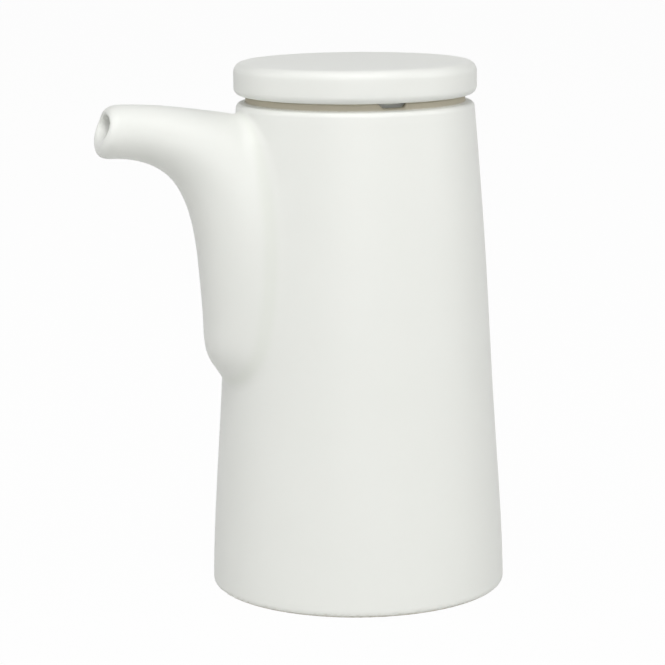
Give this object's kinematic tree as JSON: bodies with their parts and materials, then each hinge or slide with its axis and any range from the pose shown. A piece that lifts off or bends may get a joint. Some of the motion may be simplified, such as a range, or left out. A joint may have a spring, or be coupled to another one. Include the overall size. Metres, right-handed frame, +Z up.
{
  "type": "syrup dispenser",
  "caption": "Tapered glazed porcelain pot with a trunk-shaped pouring spout and a loose disc lid whose flange hangs in the mouth.",
  "frame": {"origin": "centre of the round foot, on the surface that the pot stands on", "axes": "+Z up; -X towards the spout; -Y towards the air notch in the collar"},
  "size_m": [0.1016, 0.0728, 0.13],
  "materials": {
    "glazed_porcelain": "satin white glaze"
  },
  "bodies": {
    "pot": {"pot": "glazed_porcelain"},
    "lid": {"lid": "glazed_porcelain"}
  },
  "joints": [
    {"name": "lid_lift", "type": "slide", "parent": "pot", "child": "lid", "axis": [0, 0, 1], "range_m": [0, 0.06]}
  ]
}
